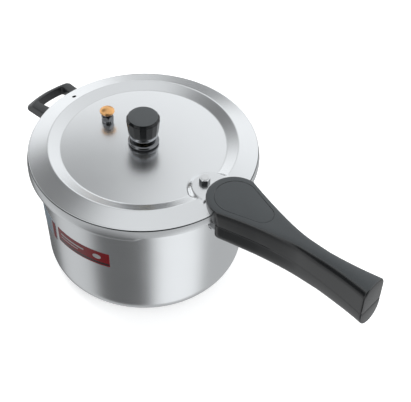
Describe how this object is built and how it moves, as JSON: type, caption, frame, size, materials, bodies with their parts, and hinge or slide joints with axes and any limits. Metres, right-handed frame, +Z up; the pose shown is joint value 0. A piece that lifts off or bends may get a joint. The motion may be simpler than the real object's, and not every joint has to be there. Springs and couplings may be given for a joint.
{
  "type": "stovetop pressure cooker",
  "caption": "Round steel pressure cooker with an outer bayonet lid, a long two-part handle, a loop helper handle, a weighted vent regulator and a safety valve.",
  "frame": {"origin": "centre of the pot's base, on the surface that it stands on", "axes": "+X along the long handle, +Z up out of the pot"},
  "size_m": [0.406, 0.216, 0.1715],
  "materials": {
    "pot_steel": "satin",
    "lid_steel": "satin",
    "bracket_steel": "satin",
    "screw_steel": "bright",
    "weight_steel": "satin",
    "chrome": "polished",
    "brass": "bright",
    "copper": "satin",
    "handle_black": "satin",
    "panel_black": "matt",
    "cap_black": "satin",
    "black_rubber": "matt",
    "label_red": "gloss",
    "label_silver": "gloss"
  },
  "bodies": {
    "pot": {"pot_shell": "pot_steel", "main_label": "label_red", "side_label": "label_silver", "body_handle_bracket": "bracket_steel", "flame_guard": "bracket_steel", "body_handle": "handle_black", "body_handle_screws": "screw_steel", "helper_bracket": "bracket_steel", "helper_handle": "handle_black", "helper_handle_screws": "screw_steel"},
    "seal": {"gasket": "black_rubber"},
    "lid": {"lid_shell": "lid_steel", "lid_handle_strap": "bracket_steel", "lid_handle_stud": "screw_steel", "lid_handle_nut": "screw_steel", "lid_handle": "handle_black", "lid_handle_panel": "panel_black", "lid_handle_screws": "screw_steel", "vent_tube": "brass", "vent_collar": "chrome", "vent_washer": "black_rubber", "vent_nut": "brass", "safety_valve_body": "chrome", "safety_valve_washer": "black_rubber", "safety_valve_nut": "screw_steel", "safety_valve_spring": "screw_steel"},
    "valve_plunger": {"safety_valve_stem": "brass", "safety_valve_cap": "copper"},
    "needle": {"regulator_needle": "brass"},
    "regulator": {"regulator_weight": "weight_steel", "regulator_ring": "chrome", "regulator_clip": "screw_steel", "regulator_cap": "cap_black"}
  },
  "joints": [
    {"name": "lid_lift", "type": "slide", "parent": "pot", "child": "seal", "axis": [0, 0, 1], "range_m": [0, 0.15]},
    {"name": "lid_turn", "type": "hinge", "parent": "seal", "child": "lid", "pos_m": [0, 0, 0.134], "axis": [0, 0, 1], "range_deg": [0, 90]},
    {"name": "safety_valve_pop", "type": "slide", "parent": "lid", "child": "valve_plunger", "axis": [0, 0, 1], "range_m": [0, 0.0025], "stiffness_N_per_m": 500, "springref_m": -0.006, "deforming": ["safety_valve_spring"]},
    {"name": "regulator_lift", "type": "slide", "parent": "lid", "child": "needle", "axis": [0, 0, 1], "range_m": [0, 0.02]},
    {"name": "regulator_spin", "type": "hinge", "parent": "needle", "child": "regulator", "pos_m": [0, 0, 0.16], "axis": [0, 0, 1], "continuous": true}
  ]
}
